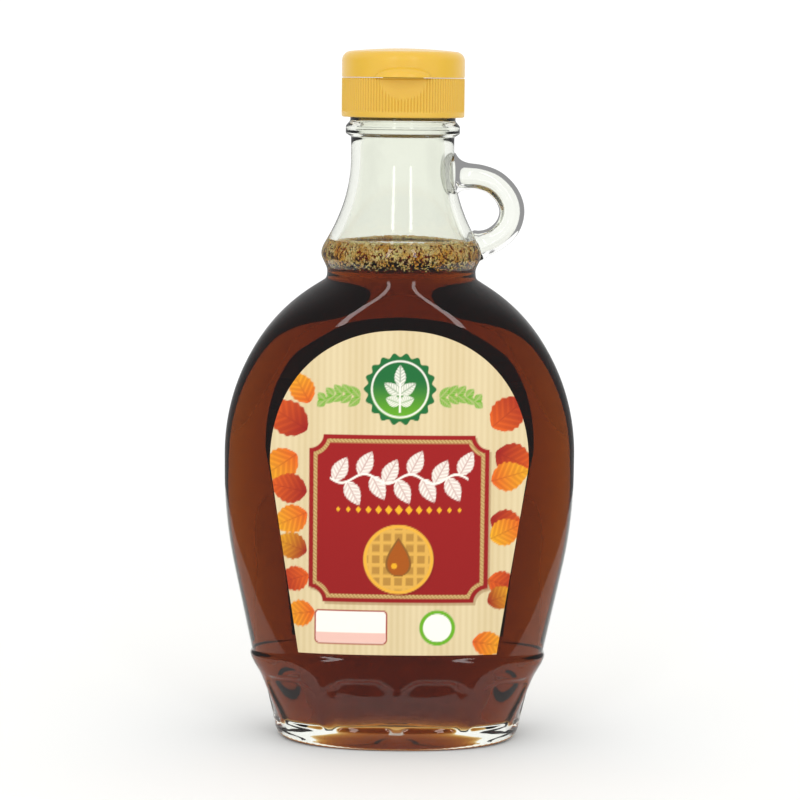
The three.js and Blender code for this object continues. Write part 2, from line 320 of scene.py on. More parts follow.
def front_rise(angle, z):
    """Climb of the ledge towards front and back: sine squared, faded out below and above."""
    return FRONT_RISE * np.sin(angle) ** 2 * fade(RISE_SPAN, z)


def heel_dots(angle, z):
    """Ring of dots under the heel: a raised cosine round the foot inside a narrow band of height."""
    return DOT_HEIGHT * fade(DOT_SPAN, z) * (0.5 + 0.5 * np.cos(DOTS * angle))


def outer_rings(angles):
    """Rings from the hollow under the foot, over the heel and up the outside to the rim."""
    heel = HEEL * (1 - np.cos(np.linspace(0, np.pi / 2, 14)))
    shoulder = BELLY_HIGH + SHOULDER_RISE * np.sin(np.radians(np.linspace(0, 64.5, 40)))
    rows = np.concatenate([
        heel,
        np.linspace(HEEL, 17.5, 42)[1:],
        np.linspace(17.5, 23.0, 22)[1:],
        np.linspace(23.0, BELLY_LOW, 26)[1:],
        shoulder,
        np.linspace(shoulder[-1], 123.0, 32)[1:],
        np.linspace(123.0, 147.0, 26)[1:],
        np.linspace(147.0, 152.0, 26)[1:],
        np.linspace(152.0, RIM - RIM_ROUND, 5)[1:],
    ])
    z, angle = np.meshgrid(rows, angles, indexing="ij")
    x, y = section(z, angle, flute_depth(angle, z) - heel_dots(angle, z))
    sides = np.stack([x, y, z + front_rise(angle, z)], -1)
    share = np.linspace(0.06, 1 - BEARING_WIDTH / FOOT_HALF_WIDTH, 12)
    under = share[:, None, None] * sides[0] * (1, 1, 0)
    under[..., 2] = (PUNT * (1 - (share / share[-1]) ** 2))[:, None]
    turn = np.linspace(0, np.pi / 2, 5)[1:, None, None]
    round_rim = sides[-1] * (1, 1, 0) * (1 - RIM_ROUND / FINISH_RADIUS * (1 - np.cos(turn)))
    round_rim[..., 2] = (RIM - RIM_ROUND + RIM_ROUND * np.sin(turn))[..., 0]
    return np.concatenate([under, sides, round_rim])


flask = ring_piece("flask", outer_rings(around(COLUMNS)), (0, 0, PUNT), (0, 0, RIM))

# %% [markdown]
# ## The loop handle
# The handle is a thin glass rod that leaves the neck, bends round and runs into the neck ring. Its
# roots swell where the soft glass was pressed on. A profile carried along a path gives this: a
# smooth curve through a few points, and a circle whose radius grows towards both ends.

# %% Rod of the handle
HANDLE_RADIUS = 3.05
UPPER_FLARE = 2.6
LOWER_FLARE = 0.7
FLARE_REACH = 1.3
HANDLE_LINE = np.array([
    (11.4, 138.0),
    (15.4, 137.9),
    (19.0, 137.6),
    (22.6, 136.2),
    (25.5, 133.2),
    (26.7, 129.5),
    (25.6, 125.6),
    (22.4, 122.6),
    (17.4, 120.7),
])


def smooth_line(points, steps):
    """Catmull-Rom curve: between two points a cubic whose slopes come from their neighbours."""
    ends = [2 * points[0] - points[1], 2 * points[-1] - points[-2]]
    padded = np.vstack([ends[0], points, ends[1]])
    place = np.linspace(0, len(points) - 1, steps)
    i = np.clip(place.astype(int), 0, len(points) - 2)
    t = (place - i)[:, None]
    a, b, c, d = padded[i], padded[i + 1], padded[i + 2], padded[i + 3]
    bend = (2 * a - 5 * b + 4 * c - d) * t ** 2 + (3 * b - a - 3 * c + d) * t ** 3
    return 0.5 * (2 * b + (c - a) * t + bend)


def handle_rings(steps, columns):
    """Circle at each step of the line, in the plane across it, swollen near the neck."""
    line = smooth_line(HANDLE_LINE, steps)
    along = np.gradient(line, axis=0)
    along /= np.linalg.norm(along, axis=1, keepdims=True)
    off_neck = line[:, 0] - half_width(line[:, 1])
    flare = np.linspace(UPPER_FLARE, LOWER_FLARE, steps)
    radius = HANDLE_RADIUS + flare * np.exp(-np.maximum(off_neck, 0.0) / FLARE_REACH)
    turn = around(columns)
    in_plane = radius[:, None] * np.cos(turn)
    x = line[:, :1] - along[:, 1:] * in_plane
    z = line[:, 1:] + along[:, :1] * in_plane
    return np.stack([x, radius[:, None] * np.sin(turn), z], -1), line


rod_rings, rod_line = handle_rings(120, 48)
rod = ring_piece(
    "handle_rod", rod_rings, (rod_line[0, 0], 0, rod_line[0, 1]), (rod_line[-1, 0], 0, rod_line[-1, 1])
)

# %% [markdown]
# ## The hollow
# The inside follows the outside one wall thickness in, without the flutes, and rounds into a flat
# floor. The same rings serve twice: as the hollow that is cut from the glass, and a hair larger as
# the syrup, so that syrup and glass overlap and no film of air shows between them.

# %% Rings of the inside
FLOOR = 3.8
FLOOR_CORNER = 5.0
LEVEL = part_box("froth")[1].z / MM
MOUTH = RIM + 2.0
INSIDE_COLUMNS = 160


def inside_rings(top, inset):
    """Rings of the hollow from its floor up to a height, set in from the wall's inner face."""
    corner = FLOOR + FLOOR_CORNER * (1 - np.cos(np.linspace(0.25, np.pi / 2, 12)))
    filled = np.linspace(FLOOR + FLOOR_CORNER, LEVEL, 80)
    empty = np.linspace(LEVEL, MOUTH, 30)
    rows = np.concatenate([corner, filled[1:], empty[1:]])
    rows = rows[rows <= top]
    rounding = FLOOR_CORNER * (1 - quarter((FLOOR + FLOOR_CORNER - rows) / FLOOR_CORNER))
    z, angle = np.meshgrid(rows, around(INSIDE_COLUMNS), indexing="ij")
    x, y = section(z, angle, wall_at(z) + inset + rounding[:, None])
    rings = np.stack([x, y, z], -1)
    share = np.linspace(0.1, 0.96, 10)[:, None]
    floor = share[..., None] * rings[0] * (1, 1, 0)
    floor[..., 2] = FLOOR + (rings[0, 0, 2] - FLOOR) * share ** 4
    return np.concatenate([floor, rings])


hollow = ring_piece("hollow", inside_rings(MOUTH, 0.0), (0, 0, FLOOR), (0, 0, MOUTH))

# %% [markdown]
# Two booleans make one body of glass: the rod is joined on, and the hollow is cut out with the
# ends of the rod that reach inside.

# %% Join the handle and cut the hollow


def combine(piece, tool, operation):
    """Boolean of piece with tool, applied at once, after which the tool is removed."""
    change = piece.modifiers.new(operation.lower(), "BOOLEAN")
    change.object = tool
    change.operation = operation
    change.solver = "MANIFOLD"
    bpy.context.view_layer.objects.active = piece
    bpy.ops.object.modifier_apply(modifier=change.name)
    bpy.data.objects.remove(tool)


combine(flask, rod, "UNION")
combine(flask, hollow, "DIFFERENCE")
flask.data.polygons.foreach_set("use_smooth", np.full(len(flask.data.polygons), True))
flask.data.materials.clear()
print("flask", len(flask.data.polygons), "faces")

# %% [markdown]
# ## Syrup
# The syrup fills the hollow up to the ring over the waist. It reaches a tenth of a millimetre into
# the glass, and its top curls up a little where it wets the wall. A thin clear skin on the top does
# what the face of the liquid does there: seen at a low angle it mirrors the bright neck.

# %% Syrup
WETTING = 0.1
MENISCUS = 0.8
MENISCUS_FALL = 12.0
SKIN_LOW = 0.05
SKIN_HIGH = 0.15


def top_rings(edge, share, lift):
    """Shrunken copies of the edge ring that sink by a short exponential towards the middle."""
    top = share[:, None, None] * edge * (1, 1, 0)
    top[..., 2] = (LEVEL + lift - MENISCUS * (1 - np.exp(-(1 - share) * MENISCUS_FALL)))[:, None]
    return top


def syrup_rings():
    """Inside rings up to the level, then the rings of the top from its rim to the middle."""
    sides = inside_rings(LEVEL, -WETTING)
    return np.concatenate([sides, top_rings(sides[-1], np.linspace(0.995, 0.05, 24), 0.0)])


def film_rings():
    """The skin of the syrup: up its lower face from the middle to the rim, back over its upper face."""
    edge = inside_rings(LEVEL, -WETTING)[-1]
    share = np.linspace(0.05, 0.985, 24)
    return np.concatenate([top_rings(edge, share, SKIN_LOW), top_rings(edge, share[::-1], SKIN_HIGH)])


sunk = LEVEL - MENISCUS
syrup = ring_piece("syrup_fill", syrup_rings(), (0, 0, FLOOR), (0, 0, sunk))
film = ring_piece("syrup_skin", film_rings(), (0, 0, sunk + SKIN_LOW), (0, 0, sunk + SKIN_HIGH))

# %% [markdown]
# ## Froth
# Small bubbles gather at the top of the syrup and cling to the glass. Each one is a little ball of
# a few dozen faces. Those on the glass are one mesh and those afloat another, made by adding every
# centre to every point of one ball, with sizes and places drawn from a seeded generator.

# %% Bubbles
froth_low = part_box("froth")[0].z / MM
WALL_BUBBLES = 4200
TOP_BUBBLES = 700
random = np.random.default_rng(7)


def ball(columns, rows):
    """Unit ball: rings at even latitudes, with one point at each pole."""
    latitude = np.linspace(-np.pi / 2, np.pi / 2, rows + 2)[1:-1]
    lat, lon = np.meshgrid(latitude, around(columns), indexing="ij")
    rings = turned(np.cos(lat), lon, np.sin(lat))
    return np.vstack([[(0, 0, -1)], rings.reshape(-1, 3), [(0, 0, 1)]]), ring_faces(rows, columns)


def bubble_piece(name, centres, radii):
    """One mesh of many balls: ball points times radius plus centre, faces shifted for each ball."""
    points, faces = ball(7, 3)
    everything = centres[:, None, :] + radii[:, None, None] * points
    shift = np.arange(len(centres)) * len(points)
    shifted = [[corner + first for corner in face] for first in shift.tolist() for face in faces]
    piece = new_piece(name, everything.reshape(-1, 3), shifted)
    print(name, len(centres), "bubbles")
    return piece


def wall_bubbles(count):
    """Bubbles against the glass: any angle, mostly near the level, each one touching the wall."""
    angle = random.uniform(0, 2 * np.pi, count)
    depth = random.power(1.7, count)
    z = froth_low + (LEVEL - froth_low) * depth
    radius = random.uniform(0.14, 0.40, count) * (0.7 + 0.3 * depth)
    x, y = section(z, angle, wall_at(z) + radius + random.uniform(0, 0.8, count) ** 2)
    return np.stack([x, y, z], -1), radius


def top_bubbles(count):
    """Bubbles afloat on the syrup, crowded to the rim of its surface."""
    angle = random.uniform(0, 2 * np.pi, count)
    radius = random.uniform(0.25, 0.6, count)
    share = 1 - 0.16 * random.uniform(0, 1, count) ** 1.6
    reach = half_width(np.full(count, LEVEL)) - NECK_WALL - 1.4
    height = LEVEL - 0.6 + 0.5 * share
    return turned(reach * share, angle, height), radius


froth_wall = bubble_piece("froth_on_glass", *wall_bubbles(WALL_BUBBLES))
froth_top = bubble_piece("froth_on_syrup", *top_bubbles(TOP_BUBBLES))

# %% [markdown]
# ## Labels
# A label is a sheet with straight tapering sides under a broad arch, wrapped on a face of the
# glass. Each row of the sheet is a thin loop: across the face and back behind it. The hidden side
# reaches just into the glass, as glued paper touches it without air.

# %% Label sheet
LABEL_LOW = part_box("label_front")[0].z / MM
LABEL_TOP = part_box("label_front")[1].z / MM
LABEL_HALF_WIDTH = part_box("label_front")[1].x / MM
LABEL_BELT = 69.5
LABEL_LOW_HALF_WIDTH = 23.9
LABEL_ARCH_POWER = 2.15
PAPER = 0.14
PAPER_SINK = 0.05
TIP_MARGIN = 0.005
ARCH_CROWD = 0.45


def label_half_width(z):
    """Half-width of the paper: a straight taper below the belt, a superellipse arch above it.

    The arch closes a hair above the sheet, so its last row keeps some width.
    """
    up = (z - LABEL_LOW) / (LABEL_BELT - LABEL_LOW)
    taper = LABEL_LOW_HALF_WIDTH + (LABEL_HALF_WIDTH - LABEL_LOW_HALF_WIDTH) * up
    climb = np.clip((z - LABEL_BELT) / (LABEL_TOP + TIP_MARGIN - LABEL_BELT), 0.0, 1.0)
    arch = LABEL_HALF_WIDTH * (1 - climb ** LABEL_ARCH_POWER) ** (1 / LABEL_ARCH_POWER)
    return np.where(z < LABEL_BELT, taper, arch)


def on_glass(x, z, lift):
    """Front face of the flask at a point: the section solved for y, and lifted off the glass.

    The height before the climb of the ledge is found by repeated correction.
    """
    source = z
    for _ in range(4):
        power = squareness(source)
        share = np.clip(np.abs(x) / half_width(source), 0.0, 1.0)
        angle = np.arctan2((1 - share ** power) ** (1 / power), share)
        source = z - front_rise(angle, source)
    power = squareness(source)
    share = np.clip(np.abs(x) / (half_width(source) + lift), 0.0, 1.0)
    crowned = 1 - face_crown(source) * share ** 2
    return -(half_depth(source) + lift) * (1 - share ** power) ** (1 / power) * crowned


def label_sheet(name, columns, rows, side, share):
    """Closed sheet of loops: columns across the face, a few behind it, rows closer at the arch."""
    behind = 12
    loop = columns + behind
    across = np.concatenate([np.linspace(-1, 1, columns), np.linspace(1, -1, behind)])
    lift = np.concatenate([np.full(columns, PAPER), np.full(behind, -PAPER_SINK)])
    turn = np.pi / 2 * 0.985
    crowded = np.sin(np.linspace(0, turn, rows)) / np.sin(turn)
    up = ARCH_CROWD * crowded + (1 - ARCH_CROWD) * np.linspace(0, 1, rows)
    z = np.repeat(LABEL_LOW + (LABEL_TOP - LABEL_LOW) * up[:, None], loop, 1)
    x = across * share * label_half_width(z)
    y = on_glass(x, z, lift[None, :])
    points = np.stack([-side * x, -side * y, z], -1).reshape(-1, 3)
    quads = band_quads(rows, loop).tolist()
    ends = [list(range(loop))[::-1], list(range((rows - 1) * loop, rows * loop))]
    piece = new_piece(name, points, quads + ends, smooth=False)
    print(name, len(quads), "faces")
    return piece, x.ravel(), z.ravel()


back_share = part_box("label_back")[1].x / MM / LABEL_HALF_WIDTH
label_front, front_x, front_z = label_sheet("label_front_paper", 300, 300, -1, 1.0)
label_back, back_x, back_z = label_sheet("label_back_paper", 240, 260, 1, back_share)

# %% [markdown]
# ## Print
# The print is fields of colour and simple shapes. Every shape is a distance in millimetres that is
# positive inside, softened over a fraction of a millimetre to a mask, and painted over what is
# there. The result is stored on the sheet's points as a colour attribute that the paper reads.

# %% Shapes for printing
INK_EDGE = 0.22


def mask(distance):
    """1 inside a shape, 0 outside, a short ramp across its edge."""
    return np.clip(distance / INK_EDGE + 0.5, 0.0, 1.0)


def disc(x, z, centre_x, centre_z, radius):
    return radius - np.hypot(x - centre_x, z - centre_z)


def plate(x, z, left, right, low, high, corner):
    """Rounded rectangle: distance to a smaller box, plus the corner radius."""
    over_x = np.abs(x - (left + right) / 2) - (right - left) / 2 + corner
    over_z = np.abs(z - (low + high) / 2) - (high - low) / 2 + corner
    outside = np.hypot(np.maximum(over_x, 0), np.maximum(over_z, 0))
    return corner - outside - np.minimum(np.maximum(over_x, over_z), 0)


def leaf(x, z, root_x, root_z, turn, length, width):
    """Pointed oval with toothed edges along a line from its root; returns shape, ribs and reach."""
    heading = math.radians(turn)
    along = ((x - root_x) * math.cos(heading) + (z - root_z) * math.sin(heading)) / length
    across = ((z - root_z) * math.cos(heading) - (x - root_x) * math.sin(heading)) / length
    inside = np.clip(along, 0.0, 1.0)
    teeth = 1 + 0.10 * (np.abs((inside * 7) % 1.0 - 0.5) * 2 - 0.5)
    half = width / length * np.sin(np.pi * inside ** 0.8) ** 0.85 * teeth
    shape = np.minimum(half - np.abs(across), np.minimum(along, 1 - along)) * length
    side_ribs = 0.5 - np.abs(((along - 0.75 * np.abs(across)) * 6.5) % 1.0 - 0.5) * 2
    ribs = np.maximum(mask(0.16 - np.abs(across) * length), 0.6 * mask(side_ribs * 0.4 + 0.05))
    return mask(shape), ribs, inside


def paint(ink, cover, colour, strength=1.0):
    """Lay a colour over the print, in place, where the mask covers it."""
    share = (cover * strength)[:, None]
    ink[:] = ink * (1 - share) + np.asarray(colour[:3]) * share


print("print shapes ready")

# %% [markdown]
# ### Front print
# Cream paper with upright ribs, oval autumn leaves down both sides, a red plaque with a rope edge,
# a white garland, a row of yellow beads and a golden waffle with a drop of syrup on it. A green
# rosette sits under the arch, and two small plain plates fill the foot of the label.

# %% Front print
CREAM = linear("#e2d0a6")
CREAM_SHADE = linear("#cdb685")
RED = linear("#9c1516")
DEEP_RED = linear("#821110")
ORANGE = linear("#e8641c")
YELLOW = linear("#f4b223")
WHITE = linear("#fbf6ea")
GREEN = linear("#1a6b34")
LIGHT_GREEN = linear("#69ad22")
AMBER = linear("#a8550f")
GOLD = linear("#e0ad4f")
BROWN = linear("#8a5a22")
PINK = linear("#eec2b4")
ROPE = linear("#d8b878")


def ribbed_paper(x, z):
    """Cream with soft upright ribs 1.5 mm apart and broader planks of slightly different tone."""
    ribs = 0.5 + 0.5 * np.cos(2 * np.pi * x / 1.5)
    planks = 0.5 + 0.5 * np.sin(x * 0.55 + 0.7 * np.sin(z * 0.05) + 1.3)
    ink = np.repeat(np.array([CREAM[:3]]), len(x), 0)
    paint(ink, 0.30 * ribs + 0.25 * planks, CREAM_SHADE)
    return ink


def autumn_leaves(ink, x, z, leaves):
    """Leaves painted one over the other, each shading from its root colour to its tip colour."""
    for root_x, root_z, turn, length, width, root_colour, tip_colour in leaves:
        shape, ribs, reach = leaf(x, z, root_x, root_z, turn, length, width)
        paint(ink, shape, root_colour)
        paint(ink, shape * reach, tip_colour)
        paint(ink, shape * ribs, DEEP_RED, 0.45)


SIDE_LEAVES = [
    (-22, 78, 150, 12, 4.2, RED, ORANGE),
    (-24.5, 72, 215, 10, 3.8, ORANGE, YELLOW),
    (-21.5, 84.5, 120, 8.5, 3, ORANGE, YELLOW),
    (-22, 63, 170, 9.5, 3.6, RED, ORANGE),
    (-22, 58, 205, 9, 3.4, ORANGE, YELLOW),
    (-22, 48.5, 160, 8.5, 3.2, RED, YELLOW),
    (-21.5, 43, 200, 8, 3, ORANGE, RED),
    (-20, 34, 190, 8, 3.2, ORANGE, YELLOW),
    (22, 79, 40, 11, 4, ORANGE, RED),
    (23, 73, -25, 10.5, 4, RED, ORANGE),
    (22, 66, 15, 9.5, 3.5, ORANGE, YELLOW),
    (22, 57, -20, 9, 3.4, RED, ORANGE),
    (22, 52, 25, 8.5, 3.2, YELLOW, ORANGE),
    (21.5, 42, -15, 8, 3, ORANGE, RED),
    (21.5, 36.5, 20, 7.5, 2.8, RED, YELLOW),
    (18, 27, -10, 8.5, 3, ORANGE, YELLOW),
]
SPRIG = [(90, 0.6, 5.2), (35, -1.2, 4.6), (145, -1.2, 4.6), (20, -3.4, 3.6), (160, -3.4, 3.6)]


def rosette(ink, x, z, centre_z, radius):
    """Green scalloped disc, lighter at its foot, with a white sprig of leaves standing in it."""
    angle = np.arctan2(z - centre_z, x)
    paint(ink, mask(disc(x, z, 0, centre_z, radius + 0.45 * np.cos(18 * angle))), GREEN)
    inner = mask(disc(x, z, 0, centre_z, radius - 1.1))
    paint(ink, inner * smoothstep(centre_z + 3, centre_z - radius, z), LIGHT_GREEN)
    paint(ink, mask(0.22 - np.abs(disc(x, z, 0, centre_z, radius - 1.5))), WHITE, 0.9)
    for turn, lift, length in SPRIG:
        shape, ribs, _ = leaf(x, z, 0.0, centre_z + lift, turn, length, 1.35)
        paint(ink, shape * (1 - 0.7 * ribs), WHITE)
    stem = mask(np.minimum(0.22 - np.abs(x), 3.6 - np.abs(z - centre_z + 2.0)))
    paint(ink, stem, WHITE)


def sprigs(ink, x, z, centre_z, start, colour):
    """Paired leaflets set along a curve on each side of the rosette."""
    for side in (-1, 1):
        for i in range(5):
            root_x = side * (start + 2.1 * i)
            root_z = centre_z + 0.9 * i - 0.28 * i * i
            for lean in (48, -40):
                turn = lean if side > 0 else 180 - lean
                shape, ribs, _ = leaf(x, z, root_x, root_z, turn, 3.6 - 0.3 * i, 1.0)
                paint(ink, shape * (1 - 0.5 * ribs), colour)


def hollowed_plate(x, z, left, right, low, high):
    """Plate with a quarter disc taken out of each corner."""
    shape = plate(x, z, left, right, low, high, 0.8)
    for corner_x in (left, right):
        for corner_z in (low, high):
            shape = np.minimum(shape, -disc(x, z, corner_x, corner_z, 3.4))
    return shape


def plaque(ink, x, z, left, right, low, high):
    """Red plaque with hollowed corners, shaded to its foot, inside a twisted rope border."""
    shape = hollowed_plate(x, z, left, right, low, high)
    shadow = hollowed_plate(x - 0.5, z + 0.6, left, right, low, high)
    paint(ink, mask(shadow), BROWN, 0.5)
    paint(ink, mask(shape), RED)
    paint(ink, mask(shape) * smoothstep(high, low, z), DEEP_RED, 0.35)
    rope = mask(0.42 - np.abs(shape - 1.5))
    twist = 0.5 + 0.5 * np.sin((x + z) * 2 * np.pi / 0.9 + np.sign(x) * 1.0)
    paint(ink, rope, ROPE)
    paint(ink, rope * twist, BROWN, 0.75)


def garland(ink, x, z, low, half_length):
    """White wavy stem with leaves that turn up and down from it by turns."""
    def wave(place):
        return low + 1.1 * np.sin(place * 2 * np.pi / 11.0)

    paint(ink, mask(np.minimum(0.28 - np.abs(z - wave(x)), half_length - np.abs(x))), WHITE)
    for i, root_x in enumerate(np.linspace(-half_length + 1, half_length - 2, 11)):
        turn = 62 if i % 2 == 0 else -62
        shape, ribs, _ = leaf(x, z, root_x, wave(root_x), turn, 6.4, 1.9)
        paint(ink, shape * (1 - 0.6 * ribs), WHITE)


def bead_row(ink, x, z, height, half_length):
    """Row of small yellow lozenges, larger in the middle."""
    for centre in np.linspace(-half_length, half_length, 13):
        size = 1.15 - 0.55 * abs(centre) / half_length
        paint(ink, mask(size - np.abs(x - centre) * 1.2 - np.abs(z - height)), YELLOW)


def waffle(ink, x, z, centre_z, radius):
    """Golden disc with a grid of darker hollows and a bright rim, and an amber drop over it."""
    paint(ink, mask(disc(x - 0.4, z + 0.5, 0, centre_z, radius)), DEEP_RED, 0.6)
    paint(ink, mask(disc(x, z, 0, centre_z, radius)), GOLD)
    pitch = 2.7
    cell_x = np.abs((x / pitch + 0.5) % 1.0 - 0.5) * pitch
    cell_z = np.abs(((z - centre_z) / pitch + 0.5) % 1.0 - 0.5) * pitch
    cells = mask(0.92 - np.maximum(cell_x, cell_z)) * mask(disc(x, z, 0, centre_z, radius - 0.9))
    paint(ink, cells, BROWN, 0.55)
    paint(ink, mask(0.3 - np.abs(disc(x, z, 0, centre_z, radius - 0.4))), YELLOW, 0.6)
    tall = 9.5
    climb = (z - centre_z + 4.2) / tall
    drop = 3.1 * np.sin(np.pi * np.clip(climb, 0.0, 1.0) ** 0.62) ** 0.9 - np.abs(x)
    drop = np.minimum(drop, tall * np.minimum(climb, 1 - climb))
    paint(ink, mask(drop), BROWN)
    paint(ink, mask(drop - 0.5), AMBER)
    paint(ink, mask(disc(x, z, -1.0, centre_z - 1.6, 0.7)), YELLOW, 0.9)


def front_print(x, z):
    ink = ribbed_paper(x, z)
    autumn_leaves(ink, x, z, SIDE_LEAVES)
    sprigs(ink, x, z, 86.0, 9.5, LIGHT_GREEN)
    rosette(ink, x, z, 88.0, 8.2)
    plaque(ink, x, z, -21.5, 21.5, 36.5, 77.0)
    garland(ink, x, z, 66.5, 16.5)
    bead_row(ink, x, z, 59.0, 14.5)
    waffle(ink, x, z, 47.0, 8.4)
    outer = plate(x, z, -20.0, -2.5, 26.2, 34.6, 1.2)
    paint(ink, mask(outer), RED)
    paint(ink, mask(outer - 0.35), WHITE)
    paint(ink, mask(np.minimum(outer - 0.35, 29.0 - z)), PINK)
    paint(ink, mask(disc(x, z, 9.5, 30.4, 4.3)), LIGHT_GREEN)
    paint(ink, mask(disc(x, z, 9.5, 30.4, 3.4)), WHITE)
    return ink


def store_ink(piece, ink):
    """Colour of every point, kept on the mesh as linear values."""
    layer = piece.data.attributes.new("ink", "FLOAT_COLOR", "POINT")
    layer.data.foreach_set("color", np.column_stack([ink, np.ones(len(ink))]).ravel())


store_ink(label_front, front_print(front_x, front_z))
print("front print on", len(front_x), "points")

# %% [markdown]
# ### Back print
# The back label carries the same paper and leaves with plain panels: a red band under the arch, a
# pale panel, a white plate and a green disc.

# %% Back print


def back_print(x, z):
    ink = ribbed_paper(x, z)
    autumn_leaves(ink, x, z, SIDE_LEAVES[::2])
    paint(ink, mask(plate(x, z, -20.0, 20.0, 70.6, 86.0, 1.5)), RED)
    garland(ink, x, z, 78.0, 14.0)
    paint(ink, mask(plate(x, z, -20.5, 20.5, 42.0, 68.4, 1.5)), WHITE, 0.85)
    bead_row(ink, x, z, 55.5, 14.5)
    paint(ink, mask(plate(x, z, -19.5, 3.0, 27.0, 39.5, 1.0)), WHITE)
    paint(ink, mask(disc(x, z, 12.5, 33.2, 5.4)), GREEN)
    paint(ink, mask(disc(x, z, 12.5, 33.2, 4.2)), LIGHT_GREEN)
    return ink


store_ink(label_back, back_print(back_x, back_z))
print("back print on", len(back_x), "points")

# %% [markdown]
# ## Cap skirt
# The skirt screws onto the neck. Its outside has fine upright ribs for grip over a plain band, and
# a smooth hollow at the front for the thumb. It is one profile turned about the axis, with the
# ribs and the hollow as changes of its radius.

# %% Ribbed skirt
CAP_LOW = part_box("cap_skirt")[0].z / MM
CAP_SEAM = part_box("cap_skirt")[1].z / MM
CAP_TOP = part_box("cap_lid")[1].z / MM
CAP_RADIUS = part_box("cap_lid")[1].x / MM
RIBS = 120
RIB_DEPTH = 0.36
RIB_LOW = CAP_LOW + 1.3
BORE_RADIUS = FINISH_RADIUS + 0.3
DECK_LOW = RIM + 0.3
SCOOP_SIZE = (20.0, 3.4, 6.5)
SCOOP_BACK = 16.9
FOOT_ROUND = 0.45
SEAM_ROUND = 0.3


def ellipsoid_radius(angle, z, size, back, height, root):
    """Distance from the axis to an ellipsoid in front of it: a quadratic, near or far root."""
    rest = 1 - ((z - height) / size[2]) ** 2
    a = (np.cos(angle) / size[0]) ** 2 + (np.sin(angle) / size[1]) ** 2
    b = -2 * np.sin(angle) * back / size[1] ** 2
    c = (back / size[1]) ** 2 - rest
    square = b * b - 4 * a * c
    hit = (b + root * np.sqrt(np.maximum(square, 0.0))) / (2 * a)
    return np.where((square > 0) & (np.sin(angle) < 0) & (rest > 0), hit, np.nan)


def on_columns(profile, columns):
    """Radius, angle and height of every point of a profile on every column round the axis."""
    radius, angle = np.meshgrid(profile[:, 0], around(columns), indexing="ij")
    return radius, angle, np.repeat(profile[:, 1:], columns, 1)


def skirt_rings(columns):
    """Under the deck, down the bore, round the lower rim, up the ribs and over the deck."""
    edge = np.radians(np.linspace(0, 90, 5))
    inside = [(0.5, DECK_LOW), (BORE_RADIUS - 0.4, DECK_LOW), (BORE_RADIUS, DECK_LOW - 0.4)]
    inside += [(BORE_RADIUS, CAP_LOW + 0.4), (BORE_RADIUS + 0.3, CAP_LOW)]
    inward = 1 - np.cos(edge)
    upward = 1 - np.sin(edge)
    rim = np.column_stack([CAP_RADIUS - FOOT_ROUND * upward, CAP_LOW + FOOT_ROUND * inward])
    wall = [(CAP_RADIUS, z) for z in np.linspace(CAP_LOW + 0.7, CAP_SEAM - SEAM_ROUND, 44)]
    lip = np.column_stack([CAP_RADIUS - SEAM_ROUND * inward, CAP_SEAM - SEAM_ROUND * upward])
    deck = [(CAP_RADIUS * 0.6, CAP_SEAM), (0.5, CAP_SEAM)]
    radius, angle, z = on_columns(np.vstack([inside, rim, wall, lip, deck]), columns)
    tooth = np.abs(np.cos(RIBS / 2 * angle)) ** 0.8
    outside = radius > CAP_RADIUS - 0.5
    grip = outside * smoothstep(RIB_LOW - 0.1, RIB_LOW + 0.25, z)
    ribbed = radius - RIB_DEPTH * grip * (1 - tooth)
    scoop = ellipsoid_radius(angle, z, SCOOP_SIZE, SCOOP_BACK, CAP_SEAM, -1)
    scooped = np.where(outside & (scoop < ribbed), scoop, ribbed)
    return turned(scooped, angle, z)


skirt = ring_piece("skirt", skirt_rings(8 * RIBS), (0, 0, DECK_LOW), (0, 0, CAP_SEAM))

# %% [markdown]
# ## Cap lid
# The lid is a shallow smooth dome with a rounded edge. A crescent lip at the front lets the thumb
# lift it, and a short strap at the back is the hinge. The lip is an ellipsoid that the radius is
# raised to, so lid and lip are one skin.

# %% Domed lid with its lip
LID_GAP = 0.12
LID_LOW = CAP_SEAM + LID_GAP
LID_CORNER = 2.3
LID_CROWN = 0.7
LIP_SIZE = (6.6, 3.6, 2.7)
LIP_BACK = 13.2
LIP_BLEND = 0.25


def lid_rings(columns):
    """Flat underside, upright wall, rounded edge and low dome, raised to the lip at the front."""
    edge = CAP_TOP - LID_CROWN - LID_CORNER
    turn = np.radians(np.linspace(0, 90, 18))[1:]
    share = np.linspace(0.97, 0.04, 16)
    under = [(0.5, LID_LOW), (CAP_RADIUS - 0.25, LID_LOW), (CAP_RADIUS - 0.08, LID_LOW + 0.06)]
    wall = [(CAP_RADIUS, z) for z in np.linspace(LID_LOW + 0.22, edge, 40)]
    dome_radius = CAP_RADIUS - LID_CORNER
    corner = np.column_stack([dome_radius + LID_CORNER * np.cos(turn), edge + LID_CORNER * np.sin(turn)])
    dome = np.column_stack([dome_radius * share, CAP_TOP - LID_CROWN * share ** 2])
    radius, angle, z = on_columns(np.vstack([under, wall, corner, dome]), columns)
    lip = ellipsoid_radius(angle, z, LIP_SIZE, LIP_BACK, LID_LOW, 1)
    lip = np.where((radius > CAP_RADIUS - 0.3) & np.isfinite(lip), lip, 0.0)
    blended = (radius + lip + np.hypot(radius - lip, LIP_BLEND)) / 2
    raised = np.where(lip > CAP_RADIUS - 1.0, blended, radius)
    return turned(raised, angle, z)


lid = ring_piece("lid", lid_rings(480), (0, 0, LID_LOW), (0, 0, CAP_TOP))

# %% [markdown]
# The hinge is a strap that lies over the seam at the back, with a groove where it bends.

# %% Hinge strap
HINGE_HALF_WIDTH = 5.0
HINGE_LOW = 159.4
HINGE_HIGH = 164.4
HINGE_SINK = 0.5
HINGE_SWELL = 0.62
HINGE_GROOVE = 0.25


